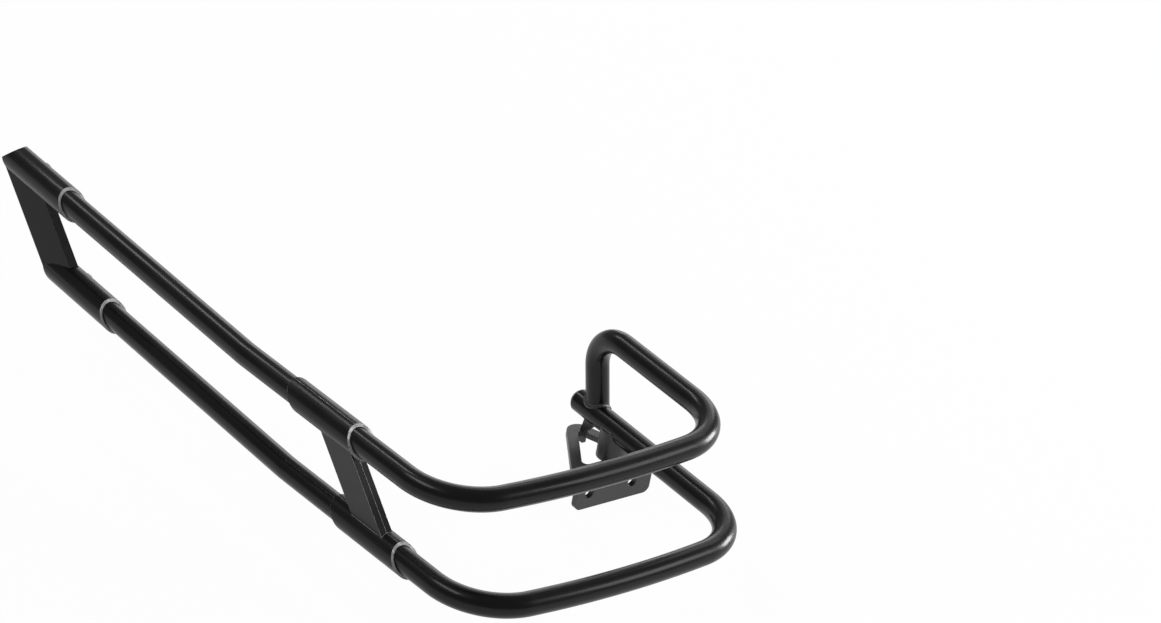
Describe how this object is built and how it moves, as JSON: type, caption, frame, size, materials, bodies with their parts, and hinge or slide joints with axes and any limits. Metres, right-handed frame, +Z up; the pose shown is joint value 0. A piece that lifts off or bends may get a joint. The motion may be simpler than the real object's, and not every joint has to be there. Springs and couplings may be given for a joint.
{
  "type": "saddlebag guard rail",
  "caption": "Motorbike saddlebag guard for the right side: parallel tube rails bent into a hook, with a raked rear cap, a clamped trim and a bolt-on bracket.",
  "frame": {"origin": "midway between the two bracket holes, on the front face of the bracket", "axes": "+X forward along the bike, +Y inboard from the right side of the bike to its middle, +Z up"},
  "size_m": [0.6232, 0.3337, 0.1417],
  "materials": {
    "gloss_tube": "gloss black coat on steel tube",
    "satin_steel": "satin black coat on steel plate",
    "gloss_casting": "gloss black coat on zinc castings",
    "screw": "gloss black coat on steel screws",
    "plain_steel": "bare turned steel, hidden in the tube ends"
  },
  "bodies": {
    "root": {"upper_rail": "gloss_tube", "lower_rail": "gloss_tube", "stub_plug": "gloss_tube", "tail_strap": "satin_steel", "bracket_plate": "satin_steel", "boss": "satin_steel", "rear_cap": "gloss_casting", "cap_screw_upper": "screw", "cap_screw_lower": "screw", "rail_plug_upper": "plain_steel", "rail_plug_lower": "plain_steel", "mid_trim_outer": "gloss_casting", "mid_trim_inner": "gloss_casting", "trim_screw_upper": "screw", "trim_screw_lower": "screw"}
  },
  "joints": []
}
